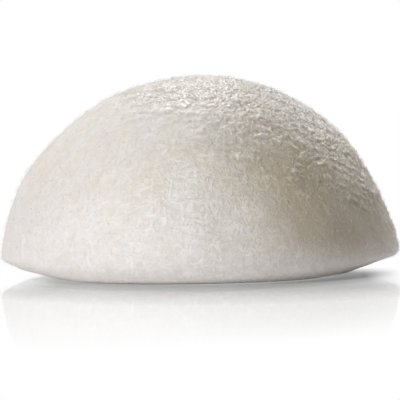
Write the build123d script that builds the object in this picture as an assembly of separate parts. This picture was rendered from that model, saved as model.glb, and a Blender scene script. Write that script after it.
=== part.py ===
from build123d import *
import math
import os

# Konjac face sponge: one piece of soft, open-pored konjac foam, moulded as a half ball.
# A domed washing side comes down to a thin rim, and a slightly bowed underside runs in
# from the rim to the flat that the damp foam settles into where it stands.
# Millimetres, +Z up. The origin is the centre of the flat that it rests on.

# Driving sizes
rim_diameter = 80.2          # across the corner of the rim, before it is rounded to 80
sponge_height = 40.0         # from the rest face to the top of the crown
rim_height = 3.5             # from the rest face to the corner of the rim
rest_face_diameter = 63.0    # the flat that meets the surface it stands on
crown_radius = 38.4          # arc over the top
shoulder_diameter = 45.0     # where the crown's arc runs into the fuller arc of the flank
underside_bow = 0.35         # how far the underside swells past a straight cone
rim_round = 1.1              # rounding of the thin rim
rest_edge_round = 3.0        # soft turn of the underside into the rest face


def dome_outline():
    """Crown and flank: two arcs that meet smoothly at the shoulder and end at the rim's corner."""
    crown_centre = (0, sponge_height - crown_radius)
    shoulder_angle = math.degrees(math.acos(shoulder_diameter / 2 / crown_radius))
    crown = CenterArc(crown_centre, crown_radius, 90, shoulder_angle - 90)
    flank = TangentArc(crown @ 1, (rim_diameter / 2, rim_height), tangent=crown % 1)
    return crown, flank


def sponge_section():
    """Half of the sponge's upright section, from its axis out to the rim."""
    with BuildSketch(Plane.XZ) as section:
        with BuildLine():
            crown, flank = dome_outline()
            underside = SagittaArc(flank @ 1, (rest_face_diameter / 2, 0), underside_bow)
            rest_face = Line(underside @ 1, (0, 0))
            Line(rest_face @ 1, crown @ 0)
        make_face()
        rim_corner = section.vertices().sort_by(Axis.X)[-1]
        fillet(rim_corner, rim_round)
        rest_corner = section.vertices().group_by(Axis.Y)[0].sort_by(Axis.X)[-1]
        fillet(rest_corner, rest_edge_round)
    return section.sketch


os.makedirs("parts", exist_ok=True)
sponge_body = revolve(sponge_section(), axis=Axis.Z)
export_step(sponge_body, "parts/sponge_body.step")
overall = sponge_body.bounding_box().size
print(f"sponge {overall.X:.2f} x {overall.Y:.2f} x {overall.Z:.2f} mm, {sponge_body.volume / 1000:.1f} ml")
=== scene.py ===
# %% [markdown]
# # A konjac face sponge
# The real thing is one lump of konjac jelly foam. Jelly is poured into a half-ball mould and frozen,
# and when it thaws the water runs out and leaves a soft, open mesh. Wet or damp it swells to about
# 80 mm across, and it feels like a firm cushion with a matted, crinkled skin.
#
# The lesson builds it in four steps: the settled half-ball form, the crinkled skin raised on it, the
# loose strands that stand off that skin, and a finish that lets light in under the surface. A small
# studio and a camera come last.

# %% The frame that the looks are built around
import math

import bpy
import numpy as np
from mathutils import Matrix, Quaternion, Vector, noise
from mathutils.bvhtree import BVHTree


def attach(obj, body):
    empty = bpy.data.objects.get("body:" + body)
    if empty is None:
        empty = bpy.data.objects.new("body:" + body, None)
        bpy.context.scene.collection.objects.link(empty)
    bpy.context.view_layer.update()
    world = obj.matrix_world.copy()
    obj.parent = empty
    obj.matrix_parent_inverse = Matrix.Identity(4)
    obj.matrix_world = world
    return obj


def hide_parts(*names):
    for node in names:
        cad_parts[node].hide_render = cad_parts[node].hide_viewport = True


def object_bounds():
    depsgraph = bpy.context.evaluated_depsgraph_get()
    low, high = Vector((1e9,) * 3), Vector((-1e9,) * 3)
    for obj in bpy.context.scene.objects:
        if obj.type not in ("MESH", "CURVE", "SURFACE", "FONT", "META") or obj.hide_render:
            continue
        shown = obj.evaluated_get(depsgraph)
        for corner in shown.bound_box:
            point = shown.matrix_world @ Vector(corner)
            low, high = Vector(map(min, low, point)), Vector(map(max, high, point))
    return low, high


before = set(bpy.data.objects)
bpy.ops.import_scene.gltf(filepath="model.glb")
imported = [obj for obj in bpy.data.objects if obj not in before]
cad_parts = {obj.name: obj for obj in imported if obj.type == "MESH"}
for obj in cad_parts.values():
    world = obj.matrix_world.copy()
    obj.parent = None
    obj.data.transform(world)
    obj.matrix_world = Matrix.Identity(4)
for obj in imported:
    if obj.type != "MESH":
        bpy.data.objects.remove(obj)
frame_low, frame_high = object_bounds()
MM = 0.001
sponge_height = frame_high.z
print(f"frame: {2 * frame_high.x / MM:.1f} mm wide, {sponge_height / MM:.1f} mm high")

# %% [markdown]
# ## The half-ball form
# The foam takes its form from a round mould, so one section says it all, and the frame's solid holds
# that section. Rays sent out from a place inside it read how far the section reaches at each tilt,
# and the skin is that reach turned about the upright axis, with none of the solid's flat facets.
#
# The points come from a ball of six square grids, which has no pinched pole where light would catch.
# The rough crown needs the most detail and the underside the least, so the grids are drawn together
# towards the crown in the one way that keeps small squares square. The rim turns a tight curve, so
# the rows of points lie closer there.

# %% A ball of six grids
grid_steps = 128
matching_digits = 7


def ball_of_six_grids(steps):
    """Unit directions and square faces of a cube whose sides are grids, blown up to a ball."""
    turn = np.tan(np.linspace(-1, 1, steps + 1) * math.pi / 4)
    u, v = np.meshgrid(turn, turn, indexing="ij")
    one = np.ones_like(u)
    sides = [(one, u, v), (-one, v, u), (v, one, u), (u, -one, v), (u, v, one), (v, u, -one)]
    points = np.concatenate([np.stack(side, axis=-1).reshape(-1, 3) for side in sides])
    points /= np.linalg.norm(points, axis=1)[:, None]
    corner = np.arange((steps + 1) ** 2).reshape(steps + 1, steps + 1)
    squares = np.stack(
        [corner[:-1, :-1], corner[1:, :-1], corner[1:, 1:], corner[:-1, 1:]], axis=-1
    ).reshape(-1, 4)
    faces = np.concatenate([squares + side * corner.size for side in range(6)])
    keys = np.round(points, matching_digits)
    _, first, same = np.unique(keys, axis=0, return_index=True, return_inverse=True)
    return points[first], same.reshape(-1)[faces]


directions, foam_faces = ball_of_six_grids(grid_steps)
print(f"foam: {len(directions)} points, {2 * len(foam_faces)} triangles")

# %% The grids drawn together at the crown and along the rim
rough_side = np.array((0.42, 0.19, 0.89))
rough_side /= np.linalg.norm(rough_side)
gathering = 2.0
rim_tilt = math.radians(107)
rim_band = math.radians(8)
rim_rows = 1.8
rim_samples = 721


def drawn_together(points, centre, times):
    """The ball's points moved towards the centre direction, where squares get that much smaller."""
    ahead = points @ centre
    sideways = points - ahead[:, None] * centre
    sideways /= np.maximum(np.linalg.norm(sideways, axis=1), 1e-9)[:, None]
    new_ahead = ((1 + ahead) * times**2 - (1 - ahead)) / ((1 + ahead) * times**2 + (1 - ahead))
    new_side = np.sqrt(np.maximum(1 - new_ahead**2, 0))
    return new_ahead[:, None] * centre + new_side[:, None] * sideways


def closer_at_the_rim(points):
    """The ball's points slid up or down, so that their rows lie closer along the rim."""
    tilt = np.arccos(np.clip(points[:, 2], -1, 1))
    all_tilts = np.linspace(0, math.pi, rim_samples)
    rows = np.cumsum(1 + rim_rows * np.exp(-(((all_tilts - rim_tilt) / rim_band) ** 2)))
    rows = (rows - rows[0]) / (rows[-1] - rows[0])
    tilt = np.interp(tilt / math.pi, rows, all_tilts)
    around = np.arctan2(points[:, 1], points[:, 0])
    return np.stack(
        [np.sin(tilt) * np.cos(around), np.sin(tilt) * np.sin(around), np.cos(tilt)], axis=1
    )


directions = closer_at_the_rim(drawn_together(directions, rough_side, gathering))
print(f"upper half: {np.mean(directions[:, 2] > 0):.2f} of the points")

# %% The section of the frame's solid
inner_point = Vector((0, 0, 0.32 * sponge_height))
section_samples = 1441
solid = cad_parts["sponge_body"].data
solid_tree = BVHTree.FromPolygons(
    [v.co for v in solid.vertices], [p.vertices for p in solid.polygons]
)


def reach_at(tilt):
    """How far the solid reaches from the inner point, at that angle from upright."""
    _, _, _, distance = solid_tree.ray_cast(inner_point, Vector((math.sin(tilt), 0, math.cos(tilt))))
    return distance


tilts = np.linspace(0, math.pi, section_samples)
section_reach = np.array([reach_at(tilt) for tilt in tilts])
print(f"section: reaches {section_reach.min() / MM:.1f} to {section_reach.max() / MM:.1f} mm")

# %% [markdown]
# ## Working on the whole skin at once
# Foam like this could be sculpted by hand. Here arrays hold every point of the skin, and a few small
# functions raise, blur and bend all of it in one go. The same numbers later tell the finish where
# the skin is rough or damp, so that form and colour always agree.

# %% Small tools for the skin
swell_shift, drift_shift = 17.3, 11.7  # how many wavelengths one seed lies from the next
noise.seed_set(23)  # without a seed, the vector noise starts from the clock and is new on each run


def outward(points, faces):
    """The unit normal at each point of a closed skin of squares."""
    a, b, c, d = (points[faces[:, k]] for k in range(4))
    face_normals = np.cross(c - a, d - b)
    normals = np.stack(
        [
            sum(np.bincount(faces[:, k], face_normals[:, axis], len(points)) for k in range(4))
            for axis in range(3)
        ],
        axis=1,
    )
    return normals / np.linalg.norm(normals, axis=1)[:, None]


def swell(points, wavelength, seed):
    """Smooth noise between about -1 and 1, whose swells are about a wavelength apart."""
    return np.array([noise.noise(p) for p in points / wavelength + swell_shift * seed])


def drift(points, wavelength, seed):
    """A smooth noise vector at each point."""
    return np.array([noise.noise_vector(p) for p in points / wavelength + drift_shift * seed])


def eased(low, high, x):
    """0 below low, 1 above high, and a smooth step between them."""
    t = np.clip((x - low) / (high - low), 0, 1)
    return t * t * (3 - 2 * t)


def fading(away, reach):
    """1 where away is 0, and a smooth fall to about 0 at twice the reach."""
    return np.exp(-((away / reach) ** 2))


def between(share, first, second):
    """A value that goes from the first to the second as the share goes from 0 to 1."""
    return first + share * (second - first)


print(f"eased: {eased(0, 1, 0.25):.2f} at a quarter, {eased(0, 1, 0.5):.2f} half way")

# %% [markdown]
# ## A rim that rolls under
# The rim is crisp on the left and right, where the foam has dried a little. In front and behind it
# has slumped: it has sunk almost to the table, and rolls under softly. Blurring the section's reach
# over a few degrees takes the corner off, and then the lowest band slides down. At the sides it is
# the other way: the foam there has curled up a little, so that the gap under the rim goes in deeper.

# %% Rolling the rim under
no_facets = math.radians(2.5)
crisp_round = math.radians(0.6)
rolled_round = math.radians(2.6)
dome_ends = math.radians(88), math.radians(96)
crisp_to, rolled_from = math.radians(18), math.radians(55)
share_behind = 0.6


def softened(reach, spread):
    """The section's reach, blurred over about that angle."""
    step = tilts[1] - tilts[0]
    width = int(3 * spread / step)
    window = np.exp(-0.5 * (np.arange(-width, width + 1) * step / spread) ** 2)
    return np.convolve(np.pad(reach, width, mode="reflect"), window / window.sum(), "valid")


tilt = np.arccos(np.clip(directions[:, 2], -1, 1))
dome, crisp, rolled = (
    np.interp(tilt, tilts, softened(section_reach, spread))
    for spread in (no_facets, crisp_round, rolled_round)
)
from_side = np.arctan2(np.abs(directions[:, 1]), np.abs(directions[:, 0]))
roll = eased(crisp_to, rolled_from, from_side) * np.where(directions[:, 1] < 0, 1, share_behind)
reach = between(eased(*dome_ends, tilt), dome, between(roll, crisp, rolled))
moulded = np.array(inner_point) + directions * reach[:, None]
moulded[:, 2] = np.maximum(moulded[:, 2], 0)
print(f"rim rolled by up to {(roll * (crisp - rolled)).max() / MM:.1f} mm")

# %% Sinking in front and behind
slump = 1.35 * MM
rim_low = 2.6 * MM
sink_fades = 3 * MM, 14 * MM
press_power = 2.5
height = moulded[:, 2].copy()
sunk = slump * (1 - eased(*sink_fades, height))
pressed_flat = height - (rim_low - slump) * (height / rim_low) ** press_power
slump_here = roll * np.where(height < rim_low, pressed_flat, sunk)
print(f"sunk by up to {slump_here.max() / MM:.1f} mm")

# %% Curling up at the sides
left_curl, right_curl = 0.5 * MM, 0.6 * MM
left_curl_top, right_curl_top = 1.8 * MM, 4.0 * MM
curl_from_axis = 30 * MM, 33 * MM
curl_start = 0.3
curl_focus = 4
from_axis = np.hypot(moulded[:, 0], moulded[:, 1])
on_the_left = moulded[:, 0] < 0
curl = np.where(on_the_left, left_curl, right_curl)
curl_top = np.where(on_the_left, left_curl_top, right_curl_top)
low_enough = 1 - eased(curl_start * curl_top, curl_top, height)
curl_here = curl * eased(*curl_from_axis, from_axis) * low_enough
curl_here *= (moulded[:, 0] / np.maximum(from_axis, MM)) ** curl_focus
moulded[:, 2] += curl_here - slump_here
skin_normals = outward(moulded, foam_faces)
print(f"skin: outward check {np.mean(np.sum(skin_normals * moulded, axis=1) > 0):.2f}")

# %% [markdown]
# ## Settled and uneven
# No two of these sponges are alike: the foam shrinks a little unevenly as it freezes, and soft
# swellings a centimetre or two wide pass under the skin. Low, slow noise along the normals gives
# that, with three lumps where the outline has them. It fades out on the flat that the sponge
# rests on.

# %% Slow swellings and lumps
slow_swell, slow_wavelength = 0.3 * MM, 26 * MM
soft_dimple, dimple_wavelength = 0.14 * MM, 7 * MM
floor_fade = 0.1 * MM, 5 * MM
# Each lump's centre, reach and height, in millimetres.
lumps = [((-35, -2, 19), 11, 0.6), ((29, -2, 28), 8, 0.5), ((-16, -6, 37), 15, -0.3)]


def distance_to(place):
    """How far each point of the moulded skin is from a place given in millimetres."""
    return np.linalg.norm(moulded - np.array(place) * MM, axis=1)


slow = swell(moulded, slow_wavelength, 1) * slow_swell
dimples = swell(moulded, dimple_wavelength, 2) * soft_dimple
for place, lump_reach, rise in lumps:
    slow += rise * MM * fading(distance_to(place), lump_reach * MM)
off_the_floor = eased(*floor_fade, moulded[:, 2])
foam = moulded + skin_normals * ((slow + dimples) * off_the_floor)[:, None]
print(f"uneven by {np.ptp(slow + dimples) / MM:.2f} mm")

# %% [markdown]
# ## The crinkled skin
# On the crown and one shoulder the mould's skin has been rubbed, and the mesh is torn into curly
# ridges under a millimetre apart, with pits between them. Folded noise gives curled ridges, and a
# Voronoi web bent by noise gives walls round small cells. Elsewhere the same skin lies soft and
# close. Right on top and far round on the right it has been pressed down again, and is calmer.

# %% Where the skin is rough
patch_wavelength, small_patch_wavelength = 16 * MM, 6 * MM
patchiness = 0.15
rough_ends = 0.45, 0.76
rough_heights = 1 * MM, 8 * MM
patchy = swell(moulded, patch_wavelength, 3) + 0.5 * swell(moulded, small_patch_wavelength, 4)
to_rough_side = skin_normals @ rough_side + patchiness * patchy
roughness_of_skin = eased(*rough_ends, to_rough_side) * eased(*rough_heights, moulded[:, 2])
on_top = eased(0.86, 0.98, skin_normals[:, 2])
on_the_right = eased(0.5, 0.8, skin_normals[:, 0])
print(f"rough: {roughness_of_skin.mean():.2f} of the skin")

# %% Ridges and walls of torn mesh
fold_sharpness = 3.2
wall_width = 0.22
web_shift = 5.1
bend_wavelength, bend_by = 1.7 * MM, 0.7 * MM
fold_gap, ridge_gap, cell_size = 2.6 * MM, 0.9 * MM, 0.95 * MM
soft_depth, rough_depth = 0.07 * MM, 0.34 * MM
calmer_on_top, calmer_on_the_right = 0.6, 0.45


def folded(points, wavelength, seed):
    """Ridges from folded noise: 1 on the crest, falling away to about 0."""
    return 1 - np.minimum(np.abs(swell(points, wavelength, seed)) * fold_sharpness, 1)


def wall_gap(point):
    """How much farther off the second nearest cell's middle is than the nearest: 0 on a wall."""
    nearest, second = noise.voronoi(point)[0][:2]
    return second - nearest


def web(points, cell, seed):
    """Walls between small cells: 1 on a wall, 0 in the middle of a cell."""
    return fading(np.array([wall_gap(p) for p in points / cell + web_shift * seed]), wall_width)


bent = moulded + drift(moulded, bend_wavelength, 5) * bend_by
folds = folded(bent, fold_gap, 6)
ridges = folded(bent, ridge_gap, 7)
walls = web(bent, cell_size, 8)
crinkle = 0.2 * folds + 0.5 * ridges + 0.3 * walls
crinkle -= crinkle.mean()
crinkle_depth = between(roughness_of_skin, soft_depth, rough_depth)
crinkle_depth *= 1 - calmer_on_top * on_top - calmer_on_the_right * on_the_right
print(f"crinkle: up to {np.ptp(crinkle * crinkle_depth) / MM:.2f} mm deep")

# %% [markdown]
# Where rough skin meets soft skin it has split into a few long creases and many short ones. The upper
# side of each comes out to a thin lip, which catches the light from behind, and the skin steps back
# sharply under it. Their lines are level lines of a height that noise bends, like those on a map, and
# they drop towards the sides, so that they follow the shoulder.

# %% Creases with a thin lip
shoulder_bend = 90 * MM
long_gap, short_gap = 4.2 * MM, 1.5 * MM
long_edge, short_edge = 0.6 * MM, 0.4 * MM
long_wobble, short_wobble = 0.8 * MM, 0.6 * MM
few_breaks, many_breaks = 0.0, -0.15
break_softness = 0.3
small_share = 0.4
crease_start, crease_end = (0.35, 0.55), (0.7, 0.95)
short_start = 0.3, 0.55


def creases(gap, edge, wobble, seed, broken):
    """Lips along bent level lines: 1 at the edge, fading above it, and 0 just below it."""
    climb = moulded[:, 2] + moulded[:, 0] ** 2 / shoulder_bend
    wide_bends = swell(moulded, 2.2 * gap, seed)
    climb += wobble * (wide_bends + small_share * swell(moulded, 0.6 * gap, seed + 1))
    above = climb % gap
    lips = np.exp(-above / edge) * eased(0, 0.4 * edge, above)
    there = swell(moulded, 1.1 * gap, seed + 2) + small_share * swell(moulded, 0.5 * gap, seed + 3)
    return lips * eased(broken, broken + break_softness, there)


crease_zone = eased(*crease_start, to_rough_side) * (1 - 0.7 * eased(*crease_end, to_rough_side))
long_lips = creases(long_gap, long_edge, long_wobble, 12, few_breaks) * crease_zone
short_lips = creases(short_gap, short_edge, short_wobble, 22, many_breaks)
short_lips = short_lips * eased(*short_start, to_rough_side) * (1 - 0.3 * on_top)
# The lip numbers make the lips glossier and also give them a painted highlight in the finish.
lip = eased(0.2, 0.7, np.maximum(long_lips, 0.7 * short_lips))
lip *= 1 - 0.55 * on_top - 0.3 * on_the_right
print(f"lips: {np.mean(lip > 0.5):.3f} of the points")

# %% Raising the skin
long_height, short_height = 0.62 * MM, 0.34 * MM
worn_down = 0.3 * MM
flat_share = 0.9
flat_fade = 0.05 * MM, 1.5 * MM
relief = crinkle * crinkle_depth + long_lips * long_height + short_lips * short_height
relief -= worn_down * roughness_of_skin
relief *= 1 - flat_share * (1 - eased(*flat_fade, moulded[:, 2]))
foam = foam + skin_normals * relief[:, None]
foam[:, 2] = np.maximum(foam[:, 2], 0)
print(f"relief from {relief.min() / MM:.2f} to {relief.max() / MM:.2f} mm")

# %% [markdown]
# ## Painted shade and damp patches
# Five places are painted darker and a warmer grey-brown, with a blurred edge that wanders. Three
# places on the front right run together into one large patch. This is painted shade, which darkens
# the shoulder beyond what the lamps do. The two round the back carry the same tone as damp foam.

# %% Patches of painted shade and damp
# The first three places paint shade on the front right shoulder; the last two are a damp tone round the
# back.
damp_and_shade_places = [(22, -28, 15), (33, -18, 15), (28, -27, 9), (-22, 26, 22), (30, 20, 12)]
damp_and_shade_core, damp_and_shade_reach = 22 * MM, 40 * MM
core_share = 0.6
shade_free_foot = 1 * MM, 9 * MM
wander_by = 5 * MM


def nearest_of(places):
    """How far each point of the moulded skin is from the nearest of some places."""
    return np.min([distance_to(place) for place in places], axis=0)


wander = wander_by * (swell(moulded, 11 * MM, 9) + 0.5 * swell(moulded, 4 * MM, 10))
away = wander + nearest_of(damp_and_shade_places)
damp_and_painted_shade = core_share * (1 - eased(0.1 * damp_and_shade_core, damp_and_shade_core, away))
damp_and_painted_shade += (1 - core_share) * (1 - eased(0.2 * damp_and_shade_reach, damp_and_shade_reach, away))
# The painted shade and damp tone fade out at the foot, which the table's light reaches.
damp_and_painted_shade *= eased(*shade_free_foot, moulded[:, 2])
print(f"damp: {damp_and_painted_shade.mean():.2f} of the skin")

# %% [markdown]
# Two more places, on top in front and behind on the left, are painted a duller tone, with no dent.
# The one in front is painted shade, which tones down the light that the lamps throw on the front of
# the crown. The one behind gives the same tone from the back.

# %% Painted shade on the crown
# Each place's centre and reach, in millimetres, and how strong its painted shade is.
dulled_shade_places = [((-3, -19, 35), 13, 0.9), ((-20, 24, 26), 12, 0.6)]
dulled_shade = np.zeros(len(moulded))
for place, dulled_shade_reach, amount in dulled_shade_places:
    dulled_shade += amount * fading(wander + distance_to(place), dulled_shade_reach * MM)
print(f"held: {dulled_shade.mean():.2f} of the skin")

# %% [markdown]
# Where a hand has rubbed the damp foam, its soft skin has matted into a felt of curled fibres. The
# rest stays nearly as smooth as it came out of the mould.

# %% Matted places
matted_places = [(5, -32, 18), (-24, 22, 20), (24, 28, 14)]
matted_reach = 14 * MM
least_matted, matted_more = 0.4, 1.15
away = 0.6 * wander + nearest_of(matted_places)
mattedness = least_matted + matted_more * fading(away, matted_reach)
print(f"matted: {mattedness.mean():.2f} of the skin")

# %% [markdown]
# ## The foam's mesh
# One closed mesh carries the form. What was worked out about the skin goes with it as painted
# numbers, one for each point, which a finish can read. They need no image and no unwrapping, and
# they stay on their points.

# %% Making the foam's mesh
high_ends = 9 * MM, 24 * MM
ridge_contrast = 1.1


def mesh_piece(name, points, faces, material=None):
    """A smooth-shaded mesh object of that name."""
    mesh = bpy.data.meshes.new(name)
    mesh.from_pydata(points.tolist(), [], faces.tolist())
    mesh.polygons.foreach_set("use_smooth", [True] * len(mesh.polygons))
    piece = bpy.data.objects.new(name, mesh)
    bpy.context.scene.collection.objects.link(piece)
    if material:
        mesh.materials.append(material)
    return piece


def paint(piece, name, values):
    """Stores one number per point, which the piece's finish can read."""
    layer = piece.data.attributes.new(name, "FLOAT", "POINT")
    layer.data.foreach_set("value", np.asarray(values, np.float32))


sponge_foam = mesh_piece("sponge_foam", foam, foam_faces)
# The ridge numbers darken the pits as painted shade. The damp numbers are painted shade on the front
# shoulder and a damp tone round the back, the held numbers are painted shade on the crown, and the lip
# numbers also give the lips a painted highlight.
paint(sponge_foam, "ridge", np.clip(0.5 + ridge_contrast * crinkle, 0, 1))
paint(sponge_foam, "rough", roughness_of_skin)
paint(sponge_foam, "damp_and_shade", damp_and_painted_shade)
paint(sponge_foam, "lip", lip)
paint(sponge_foam, "matted", mattedness)
paint(sponge_foam, "dulled_shade", dulled_shade)
paint(sponge_foam, "high", eased(*high_ends, moulded[:, 2]))
print(f"foam piece: {len(sponge_foam.data.polygons)} faces")

# %% [markdown]
# ## Loose strands
# Torn walls of the mesh lie on the skin as fine strands, curled, with both ends still in the foam.
# In the matted places they are long and lie flat. On the rough skin they are short and stand up, and
# all over there is a down of very thin ones, which blurs the outline.
#
# Blender's hair would be quick to grow, but it is curves and not a mesh, so it would be lost when
# the part is saved for others. Each strand here is a thin tapered tube that walks over the skin,
# turning as it goes.

# %% Where strands start
chance = np.random.default_rng(41)
lowest_strand = 3 * MM


def strand_seeds(count, likely):
    """Faces of the foam where strands start, more of them where they are likely."""
    a, b, c, d = (foam[foam_faces[:, k]] for k in range(4))
    area = np.linalg.norm(np.cross(c - a, d - b), axis=1)
    high_enough = foam[foam_faces, 2].mean(axis=1) > lowest_strand
    wanted = area * likely[foam_faces].mean(axis=1) * high_enough
    return chance.choice(len(foam_faces), count, p=wanted / wanted.sum())


print(f"strands can start on {np.mean(foam[foam_faces, 2].mean(axis=1) > lowest_strand):.2f} of the faces")

# %% One strand
strand_sides = 3
strand_sunk = 0.4
tip_share = 0.25
tip_roundness = 0.6
bend_share = 0.5
foam_tree = BVHTree.FromPolygons(foam.tolist(), foam_faces.tolist())


def one_strand(face, length, thickness, stand, curl, stops):
    """Points of one strand's tube, which stands that high in the middle and curls as it goes."""
    here = Vector(foam[foam_faces[face]].mean(axis=0))
    normal = Vector(skin_normals[foam_faces[face]].mean(axis=0)).normalized()
    side = normal.orthogonal().normalized()
    turn = chance.uniform(0, math.tau)
    heading = side * math.cos(turn) + normal.cross(side) * math.sin(turn)
    bend = chance.normal(0, curl)
    step = length / (stops - 1)
    rings = []
    for stop in range(stops):
        arch = math.sin(math.pi * stop / (stops - 1))
        across = heading.cross(normal).normalized()
        middle = here + normal * (stand * arch - strand_sunk * thickness)
        radius = thickness / 2 * (tip_share + (1 - tip_share) * max(arch, 0) ** tip_roundness)
        for k in range(strand_sides):
            corner = math.tau * (k / strand_sides + 0.25)
            rings.append(
                middle + across * radius * math.cos(corner) + normal * radius * math.sin(corner)
            )
        bend += chance.normal(0, curl)
        heading = (heading + across * bend * bend_share).normalized()
        here, normal, _, _ = foam_tree.find_nearest(here + heading * step)
        heading = (heading - normal * heading.dot(normal)).normalized()
    return rings


def strand_faces(first, stops):
    """The side faces of a strand whose points start at first. Its ends are buried in the foam."""
    faces = []
    for stop in range(stops - 1):
        for k in range(strand_sides):
            low = first + stop * strand_sides
            step = (k + 1) % strand_sides
            faces.append((low + k, low + step, low + strand_sides + step, low + strand_sides + k))
    return faces


print(f"one strand of 6 stops: {len(strand_faces(0, 6))} faces")

# %% Pieces made of many strands


def strand_piece(name, count, likely, length, thickness, stand, curl, stops=6):
    """A mesh of many strands, whose lengths, thicknesses and heights are drawn from ranges in mm."""
    points, faces = [], []
    seeds = strand_seeds(count, likely)
    for face in seeds:
        faces += strand_faces(len(points), stops)
        points += one_strand(
            face,
            chance.uniform(*length) * MM,
            chance.uniform(*thickness) * MM,
            chance.uniform(*stand) * MM,
            curl,
            stops,
        )
    print(f"{name}: {count} strands, {2 * len(faces)} triangles")
    piece = mesh_piece(name, np.array(points), np.array(faces))
    # Each strand keeps the painted shade and damp tone of the face it starts on.
    paint(piece, "damp_and_shade", np.repeat(damp_and_painted_shade[foam_faces[seeds, 0]], strand_sides * stops))
    paint(piece, "pale", np.repeat(chance.uniform(0, 1, count), strand_sides * stops))
    return piece


felt_strands = strand_piece(
    "felt_strands",
    6400,
    mattedness**2,
    length=(0.7, 2.0),
    thickness=(0.16, 0.32),
    stand=(-0.03, 0.05),
    curl=0.5,
)
torn_strands = strand_piece(
    "torn_strands",
    6400,
    roughness_of_skin,
    length=(0.3, 1.0),
    thickness=(0.08, 0.16),
    stand=(0.04, 0.16),
    curl=0.9,
)
down = strand_piece(
    "down",
    7800,
    1 + 0.5 * roughness_of_skin,
    length=(0.5, 1.5),
    thickness=(0.035, 0.065),
    stand=(0.15, 0.6),
    curl=0.7,
    stops=5,
)

# %% [markdown]
# ## A way to write finishes
# Shader nodes are easier to read as sums. A wire stands for one output of a node, and the signs
# + - * on wires and numbers add Math nodes between them. A finish is a material or a world whose
# nodes are all made by one method.

# %% Wires


class Wire:
    """One output of a node in a finish. Sums of wires and numbers add Math nodes."""

    def __init__(self, finish, socket):
        self.finish = finish
        self.socket = socket

    def maths(self, operation, *values):
        """One Math node that works on these values."""
        return self.finish.node("ShaderNodeMath", {"operation": operation}, dict(enumerate(values)))

    def __add__(self, other):
        return self.maths("ADD", self, other)

    def __sub__(self, other):
        return self.maths("SUBTRACT", self, other)

    def __rsub__(self, other):
        return self.maths("SUBTRACT", other, self)

    def __mul__(self, other):
        return self.maths("MULTIPLY", self, other)

    __radd__ = __add__
    __rmul__ = __mul__

    def size(self):
        """This value without its sign."""
        return self.maths("ABSOLUTE", self)

    def or_more(self, other):
        """The larger of the two."""
        return self.maths("MAXIMUM", self, other)

    def kept_in(self, low, high, way="LINEAR"):
        """This value, moved from low..high to 0..1 and stopped at both ends."""
        return self.finish.node(
            "ShaderNodeMapRange",
            {"clamp": True, "interpolation_type": way},
            {"Value": self, "From Min": low, "From Max": high},
        )


# %% Finishes


class Finish:
    """A material or a world, wired by name."""

    def __init__(self, owner):
        owner.use_nodes = True
        self.owner = owner
        self.tree = owner.node_tree
        self.tree.nodes.clear()

    def node(self, kind, settings=None, sockets=None, output=0):
        """A node of that kind: its settings first, then the values or wires of its sockets."""
        made = self.tree.nodes.new(kind)
        for name, value in (settings or {}).items():
            setattr(made, name, value)
        for where, value in (sockets or {}).items():
            if isinstance(value, Wire):
                self.tree.links.new(value.socket, made.inputs[where])
            else:
                made.inputs[where].default_value = value
        return Wire(self, made.outputs[output])

    def place(self):
        """Where on the piece a point is, in metres."""
        return self.node("ShaderNodeTexCoord", None, None, "Object")

    def mixed(self, share, first, second):
        """A colour between two colours."""
        return self.node("ShaderNodeMix", {"data_type": "RGBA"}, {0: share, 6: first, 7: second}, 2)

    def tinted(self, colour, by):
        """A colour multiplied by another."""
        settings = {"data_type": "RGBA", "blend_type": "MULTIPLY"}
        return self.node("ShaderNodeMix", settings, {0: 1.0, 6: colour, 7: by}, 2)

    def moved(self, place, by):
        """A place moved by a vector."""
        return self.node("ShaderNodeVectorMath", {"operation": "ADD"}, {0: place, 1: by})

    def stretched(self, place, by):
        """A place with its three numbers multiplied by three others."""
        return self.node("ShaderNodeVectorMath", {"operation": "MULTIPLY"}, {0: place, 1: by})

    def scaled(self, vector, by):
        """A vector made longer or shorter."""
        return self.node("ShaderNodeVectorMath", {"operation": "SCALE"}, {0: vector, "Scale": by})

    def grain(self, place, size, detail=2.0, rough=0.5, output=0):
        """Noise from 0 to 1 with grains of about that size."""
        return self.node(
            "ShaderNodeTexNoise",
            None,
            {"Vector": place, "Scale": 1 / size, "Detail": detail, "Roughness": rough},
            output,
        )

    def swirled(self, place, size, by):
        """A place moved about by noise, so that what is laid there curls."""
        return self.moved(place, self.scaled(self.grain(place, size, 1.0, 0.5, "Color"), by))

    def read(self, name):
        """A number that the mesh keeps at each point."""
        return self.node("ShaderNodeAttribute", {"attribute_name": name}, None, "Fac")

    def ends_in(self, surface):
        """Joins the surface to the output, and gives back the material or world."""
        kind = "World" if isinstance(self.owner, bpy.types.World) else "Material"
        made = self.tree.nodes.new("ShaderNodeOutput" + kind)
        self.tree.links.new(surface.socket, made.inputs["Surface"])
        return self.owner


def rgb(red, green, blue):
    """A colour for a socket, from its linear values."""
    return (red, green, blue, 1.0)


# %% [markdown]
# ## The foam's finish
# Damp konjac is a pale, slightly warm jelly. Light goes a millimetre or so into it, which softens
# small shadows, so the finish uses subsurface scattering. Pits are painted warmer and darker than
# ridges, which is painted shade, and lips are painted paler, which is a painted highlight. Faint
# clouds of tone pass through it. A felt of curly fibres too fine for the mesh is a bump, and the
# painted shade is lighter on the fibres' tops. An image of foam would do for one side only, while
# noise covers it all round.

# %% Colours of the foam
ridge_colour = rgb(0.885, 0.866, 0.857)
# The lip colour is a painted highlight, and the two pit colours are painted shade in the hollows.
lip_highlight_colour = rgb(0.94, 0.92, 0.89)
pit_shade_colour = rgb(0.74, 0.705, 0.67)
torn_pit_shade_colour = rgb(0.73, 0.67, 0.59)
cloud_colour = rgb(0.83, 0.782, 0.69)
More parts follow.
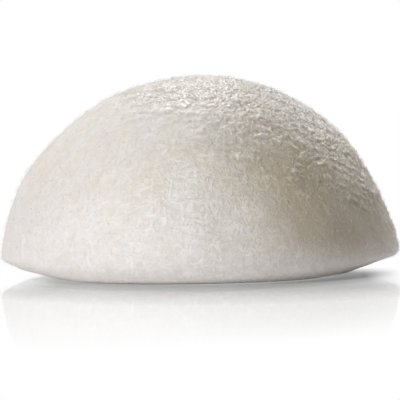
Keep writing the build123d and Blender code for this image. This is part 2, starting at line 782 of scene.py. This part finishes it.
# The damp colours are painted shade on the front shoulder and a darker tone round the back, and the held
# colour is painted shade on the crown.
damp_and_shade_colour = rgb(0.505, 0.435, 0.27)
low_damp_and_shade_colour = rgb(0.505, 0.44, 0.325)
dulled_shade_colour = rgb(0.79, 0.763, 0.735)
cloud_size = 7 * MM
cloud_share_low, cloud_share_more, cloud_all_over = 0.2, 0.4, 0.08
# How strong the painted shade of the held and damp places is.
dulled_shade_share, damp_and_shade_share = 0.9, 0.85


def foam_body(finish, place):
    """The foam's tone: pale and clouded higher up, with painted shade on the crown and the front shoulder,
    and the same darker tone round the back.
    """
    high = finish.read("high")
    clouds = finish.grain(place, cloud_size, 4.0, 0.6).kept_in(0.35, 0.65)
    clouded = clouds * (cloud_share_low + high * cloud_share_more) + high * cloud_all_over
    body = finish.mixed(clouded, ridge_colour, cloud_colour)
    body = finish.mixed(finish.read("dulled_shade") * dulled_shade_share, body, dulled_shade_colour)
    damp_and_shade = finish.mixed(high, low_damp_and_shade_colour, damp_and_shade_colour)
    return finish.mixed(finish.read("damp_and_shade") * damp_and_shade_share, body, damp_and_shade)


print(f"foam: the ridges reflect {ridge_colour[1]:.2f} of the light, damp foam {damp_and_shade_colour[1]:.2f}")

# %% Felt and torn grain
felt_curl_size, felt_curl_by = 2.6 * MM, 1.8 * MM
fibre_widths = {"z": 0.40 * MM, "x": 0.44 * MM, "y": 0.36 * MM}
fibre_stretch = 0.35
thin_felt = 0.3
felt_patch = 2.8 * MM
torn_curl_size, torn_curl_by = 1.2 * MM, 0.8 * MM
torn_fine, torn_clump = 0.38 * MM, 0.95 * MM
fine_share = 0.6


def strokes(finish, place, width, along):
    """Short blurred strokes of that width, 1 in the middle of a stroke, that lie along an axis."""
    stretch = tuple(fibre_stretch if axis == along else 1.0 for axis in "xyz")
    laid = finish.stretched(place, stretch)
    return finish.grain(laid, width * 2, 1.0).kept_in(0.42, 0.76, "SMOOTHSTEP")


def fibre_felt(finish, place):
    """A felt of short wiggly fibres, from 0 between them to 1 on top of one."""
    curled = finish.swirled(place, felt_curl_size, felt_curl_by)
    upright, sideways, lengthways = (
        strokes(finish, curled, width, axis) for axis, width in fibre_widths.items()
    )
    felt = upright.or_more(sideways).or_more(lengthways)
    thick = finish.grain(place, felt_patch, 2.0, 0.6).kept_in(0.32, 0.62)
    return felt * (thin_felt + thick * (1 - thin_felt))


def torn_grain(finish, place):
    """Clumps of torn mesh where the skin is rough, from 0 in the holes to 1 on top."""
    curled = finish.swirled(place, torn_curl_size, torn_curl_by)
    fine = finish.grain(curled, torn_fine, 1.0).kept_in(0.36, 0.66)
    clumps = finish.grain(curled, torn_clump, 1.0).kept_in(0.34, 0.66)
    return fine * fine_share + clumps * (1 - fine_share)


print(f"felt: fibres {min(fibre_widths.values()) / MM:.2f} mm wide and more")

# %% Foam finish
blotch_size, grit_size = 1.9 * MM, 0.28 * MM
felt_share, grit_share = 0.85, 0.25
felt_height, blotch_depth, torn_height = 0.14, 0.04, 0.1  # in millimetres, as the bump counts
# How strong the painted shade in the pits is, and how much the felt's tops clear it.
soft_pit_shade_share, felt_clears, blotch_share = 0.55, 0.95, 0.08
torn_pit_shade_share = 0.35
dullness, torn_shine, lip_shine = 0.55, 0.18, 0.2
light_reach = 1.5 * MM
# How strong the lips' painted highlight is.
lip_highlight_share = 0.7


def foam_finish():
    """The foam's material."""
    finish = Finish(bpy.data.materials.new("konjac_foam"))
    place = finish.place()
    rough = finish.read("rough")
    lip_here = finish.read("lip")
    matted = finish.read("matted")
    blotches = finish.grain(place, blotch_size, 2.0).kept_in(0.36, 0.64)
    grit = finish.grain(place, grit_size, 1.0).kept_in(0.34, 0.66)
    felt = fibre_felt(finish, place) * felt_share + grit * grit_share
    torn = torn_grain(finish, place)
    body = foam_body(finish, place)
    # Painted shade: the colour goes towards the pit colours between felt fibres, in dents and in the
    # hollows of the torn skin.
    soft_pit_shade = soft_pit_shade_share - (felt - 0.1) * matted * felt_clears + blotches * blotch_share
    torn_pit_shade = ((1 - torn) + (1 - finish.read("ridge"))) * torn_pit_shade_share * rough
    colour = finish.mixed(soft_pit_shade, body, finish.tinted(body, pit_shade_colour))
    colour = finish.mixed(torn_pit_shade, colour, finish.tinted(colour, torn_pit_shade_colour))
    raised = felt * matted * felt_height - blotches * blotch_depth + torn * rough * torn_height
    bump = finish.node("ShaderNodeBump", None, {"Strength": 1.0, "Distance": MM, "Height": raised})
    # The lips' paler colour is a painted highlight.
    shader = finish.node(
        "ShaderNodeBsdfPrincipled",
        {"subsurface_method": "RANDOM_WALK"},
        {
            "Base Color": finish.mixed(lip_here * lip_highlight_share, colour, lip_highlight_colour),
            "Roughness": (dullness - rough * torn_shine - lip_here * lip_shine).kept_in(0, 1),
            "IOR": 1.4,
            "Specular IOR Level": 0.5,
            "Subsurface Weight": 0.3,
            "Subsurface Radius": (1.0, 0.75, 0.5),
            "Subsurface Scale": light_reach,
            "Sheen Weight": 0.1,
            "Sheen Roughness": 0.5,
            "Normal": bump,
        },
    )
    return finish.ends_in(shader)


sponge_foam.data.materials.append(foam_finish())
print(f"foam finish: {len(sponge_foam.data.materials[0].node_tree.nodes)} nodes")

# %% [markdown]
# ## The strands' finish
# The strands are the same jelly, drawn thin. They are a little glossier than the foam, and some are
# paler than others. Each takes the painted shade and damp tone of the place it starts from.

# %% Strand finish
dry_dull, dry_pale = rgb(0.82, 0.765, 0.715), rgb(0.92, 0.88, 0.85)
# The darker strand colours carry the painted shade and damp tone.
damp_and_shade_dull, damp_and_shade_pale = rgb(0.60, 0.52, 0.41), rgb(0.82, 0.755, 0.67)
strand_damp_and_shade_share = 0.9
strand_gloss, paler_is_duller = 0.28, 0.2
strand_light_reach = 0.4 * MM


def strand_finish():
    """The material of all the strands."""
    finish = Finish(bpy.data.materials.new("konjac_strands"))
    pale = finish.read("pale")
    dry = finish.mixed(pale, dry_dull, dry_pale)
    damp_and_shade = finish.mixed(pale, damp_and_shade_dull, damp_and_shade_pale)
    shader = finish.node(
        "ShaderNodeBsdfPrincipled",
        None,
        {
            "Base Color": finish.mixed(finish.read("damp_and_shade") * strand_damp_and_shade_share, dry, damp_and_shade),
            "Roughness": strand_gloss + pale * paler_is_duller,
            "IOR": 1.42,
            "Subsurface Weight": 0.3,
            "Subsurface Radius": (1.0, 0.8, 0.6),
            "Subsurface Scale": strand_light_reach,
        },
    )
    return finish.ends_in(shader)


strand_look = strand_finish()
for strands in (felt_strands, torn_strands, down):
    strands.data.materials.append(strand_look)
print(f"strand finish: {len(strand_look.node_tree.nodes)} nodes")

# %% [markdown]
# ## The table
# The sponge stands on a white, slightly polished table. To the camera the table is plain white, as
# if it were lit from below, and near the sponge it also carries the sponge's shade and a reflection
# that fades with the distance. To the light of the lamps it is an ordinary matt table, so that it
# throws light up under the rim. It lies a hair below the sponge, because two faces at one height
# would flicker.

# %% Where the table carries the sponge's shade
front_shade_middle, front_shade_stretch = (4 * MM, 0, 0), 1.4
front_shade_ends = 38 * MM, 88 * MM
front_shade_back, front_shade_fade = 6 * MM, 16 * MM
side_shade_middle, side_shade_ends = 2.5 * MM, (30.5 * MM, 38 * MM)
side_cut_front, side_cut_fade = 64 * MM, 26 * MM
front_shade_share, right_shade_more = 0.82, 0.13
side_ends = 5 * MM, 28 * MM
rim_ends = 32.5 * MM, 38.5 * MM
rim_cut, rim_cut_less_at_sides = 0.52, 0.26
back_shade_middle, back_shade_stretch = (0, 42 * MM, 0), 2.4
back_shade_ends = 10 * MM, 80 * MM
back_shade_start, back_shade_share = 0.7, 0.72


def away_from(finish, place, centre, stretch):
    """The distance from a place on the table, counted more in X by the stretch."""
    from_centre = finish.moved(place, tuple(-c for c in centre))
    narrowed = finish.stretched(from_centre, (stretch, 1, 1))
    return finish.node("ShaderNodeVectorMath", {"operation": "LENGTH"}, {0: narrowed}, "Value")


def front_shade(finish, place):
    """The shade in front, cut off beside the rim and thinned where real shadow lies under it."""
    x, y = (finish.node("ShaderNodeSeparateXYZ", None, {0: place}, axis) for axis in (0, 1))
    away = away_from(finish, place, front_shade_middle, front_shade_stretch)
    shade = 1 - away.kept_in(*front_shade_ends)
    shade *= (front_shade_back - y).kept_in(0, front_shade_fade)
    beside = (x - side_shade_middle).size().kept_in(*side_shade_ends)
    shade *= 1 - beside * (y + side_cut_front).kept_in(0, side_cut_fade)
    right = x.kept_in(*side_ends)
    sides = x.size().kept_in(*side_ends)
    under_rim = 1 - away_from(finish, place, (0, 0, 0), 1.0).kept_in(*rim_ends)
    cut = under_rim * shade * (rim_cut - sides * rim_cut_less_at_sides)
    return shade * (front_shade_share + right * right_shade_more - cut)


def back_shade(finish, place):
    """The shade behind the sponge, which spreads to both sides."""
    away = away_from(finish, place, back_shade_middle, back_shade_stretch)
    return (back_shade_start - away.kept_in(*back_shade_ends)) * back_shade_share


print(f"shade in front: out to {front_shade_ends[1] / MM:.0f} mm")

# %% Table
polish_middle, polish_stretch = (-20 * MM, 0, 0), 1.8
polish_ends = 50 * MM, 180 * MM
close_ends = 40 * MM, 56 * MM
polish_share, less_close_by = 0.58, 0.34
plain_colour, shade_colour = rgb(0.96, 0.96, 0.96), rgb(0.48, 0.485, 0.495)
mirror_colour, mirror_roughness = rgb(0.985, 0.99, 1), 0.035
table_size = 6.0
table_drop = 0.01 * MM


def table_polish(finish, place):
    """How much the table mirrors: less right at the sponge, most round it, and nothing far off."""
    close_by = 1 - away_from(finish, place, (0, 0, 0), 1.0).kept_in(*close_ends)
    further = 1 - away_from(finish, place, polish_middle, polish_stretch).kept_in(*polish_ends)
    return further * polish_share - close_by * less_close_by


def table_finish():
    """The table's material: matt to the lamps, and white with shade and polish to the camera."""
    finish = Finish(bpy.data.materials.new("white_table"))
    place = finish.place()
    camera_rays = finish.node("ShaderNodeLightPath", None, None, "Is Camera Ray")
    rays = camera_rays.or_more(finish.node("ShaderNodeLightPath", None, None, "Is Glossy Ray"))
    shaded = front_shade(finish, place).or_more(back_shade(finish, place))
    plain = finish.node("ShaderNodeBsdfDiffuse", None, {"Color": plain_colour})
    shade = finish.node("ShaderNodeBsdfDiffuse", None, {"Color": shade_colour})
    white = finish.node("ShaderNodeEmission", None, {"Color": rgb(1, 1, 1), "Strength": 1.0})
    mirror = finish.node(
        "ShaderNodeBsdfGlossy",
        None,
        {"Color": mirror_colour, "Roughness": mirror_roughness},
    )
    seen = finish.node("ShaderNodeMixShader", None, {0: shaded, 1: white, 2: shade})
    seen = finish.node(
        "ShaderNodeMixShader", None, {0: table_polish(finish, place), 1: seen, 2: mirror}
    )
    return finish.ends_in(finish.node("ShaderNodeMixShader", None, {0: rays, 1: plain, 2: seen}))


half, level = table_size / 2, -table_drop
table = mesh_piece(
    "table",
    np.array([(-half, -half, level), (half, -half, level), (half, half, level), (-half, half, level)]),
    np.array([(0, 1, 2, 3)]),
    table_finish(),
)
print(f"table: {table_size:.0f} m wide, {table_drop / MM:.2f} mm below the sponge")

# %% [markdown]
# ## Room light and lamps
# The room gives very little light, slightly warm, and looks plain white to the camera. Four soft
# lamps do the rest. One is low on the left, in front, and brings the front out. One is high on the
# left. A small one is high behind and lights the crown. The last is behind on the right and skims
# the shoulder, so that the crinkles and lips show.

# %% Room light
room_light = 0.055
room_tint = rgb(1.0, 0.97, 0.9)


def light_room():
    """Sets the world: white where it is seen, and dim and warm where it gives light."""
    finish = Finish(bpy.context.scene.world or bpy.data.worlds.new("room"))
    bpy.context.scene.world = finish.owner
    seen = finish.node("ShaderNodeLightPath", None, None, "Is Camera Ray")
    for ray in ("Is Glossy Ray", "Is Transmission Ray"):
        seen = seen.or_more(finish.node("ShaderNodeLightPath", None, None, ray))
    strength = room_light + seen * (1 - room_light)
    colour = finish.mixed(seen, room_tint, rgb(1, 1, 1))
    finish.ends_in(
        finish.node("ShaderNodeBackground", None, {"Color": colour, "Strength": strength})
    )


light_room()
print(f"room: {room_light:.3f} of white")

# %% Lamps


def lamp(name, place, size, glow, colour=(1, 1, 1)):
    """A square lamp that faces the sponge, and gives a white wall there the brightness glow."""
    light = bpy.data.lights.new(name, "AREA")
    light.size = size
    light.color = colour
    from_sponge = Vector(place) - Vector((0, 0, sponge_height / 2))
    light.energy = glow * math.pi**2 * from_sponge.length_squared
    holder = bpy.data.objects.new(name, light)
    holder.location = place
    holder.rotation_euler = from_sponge.to_track_quat("Z", "Y").to_euler()
    holder.visible_camera = False
    bpy.context.scene.collection.objects.link(holder)
    print(f"{name}: {light.energy:.1f} W from {from_sponge.length:.2f} m")


lamp("low_lamp", (-0.35, -0.605, 0.105), size=0.20, glow=0.47, colour=(0.99, 1.0, 1.02))
lamp("left_lamp", (-0.28, -0.28, 0.59), size=0.30, glow=0.38, colour=(1.02, 0.995, 0.985))
lamp("top_lamp", (0.0, 0.45, 0.56), size=0.10, glow=0.50)
lamp("skimming_lamp", (0.35, 0.50, 0.37), size=0.10, glow=0.24)

# %% [markdown]
# ## The camera
# The photograph was taken nearly level, with a long lens, and its frame is as wide as the sponge. It
# leans by about a degree.

# %% Camera
picture_pixels = 400
pixels_per_mm = 4.96
camera_distance = 1.0
camera_elevation = math.radians(3.2)
camera_roll = math.radians(0.95)
sensor_width = 36
aim = Vector((0.3 * MM, 0, 14.6 * MM))

picture_width = picture_pixels / pixels_per_mm * MM
camera_data = bpy.data.cameras.new("camera")
camera_data.sensor_width = sensor_width
camera_data.lens = sensor_width * camera_distance / picture_width
camera = bpy.data.objects.new("camera", camera_data)
back = Vector((0, -math.cos(camera_elevation), math.sin(camera_elevation)))
camera.location = aim + back * camera_distance
camera.rotation_mode = "QUATERNION"
upright = back.to_track_quat("Z", "Y")
camera.rotation_quaternion = upright @ Quaternion((0, 0, 1), -camera_roll)
bpy.context.scene.collection.objects.link(camera)
bpy.context.scene.camera = camera
bpy.context.scene.view_settings.view_transform = "Standard"
print(f"lens {camera_data.lens:.0f} mm, {picture_width / MM:.1f} mm across the picture")

# %% [markdown]
# ## What each piece is
# Everything is one soft body. The foam stands in for the frame's solid, and the strands ride on the
# same body.

# %% Joining the pieces to the frame
for piece in (sponge_foam, felt_strands, torn_strands, down):
    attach(piece, "root")
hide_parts("sponge_body")
print("pieces: foam, felt strands, torn strands, down")
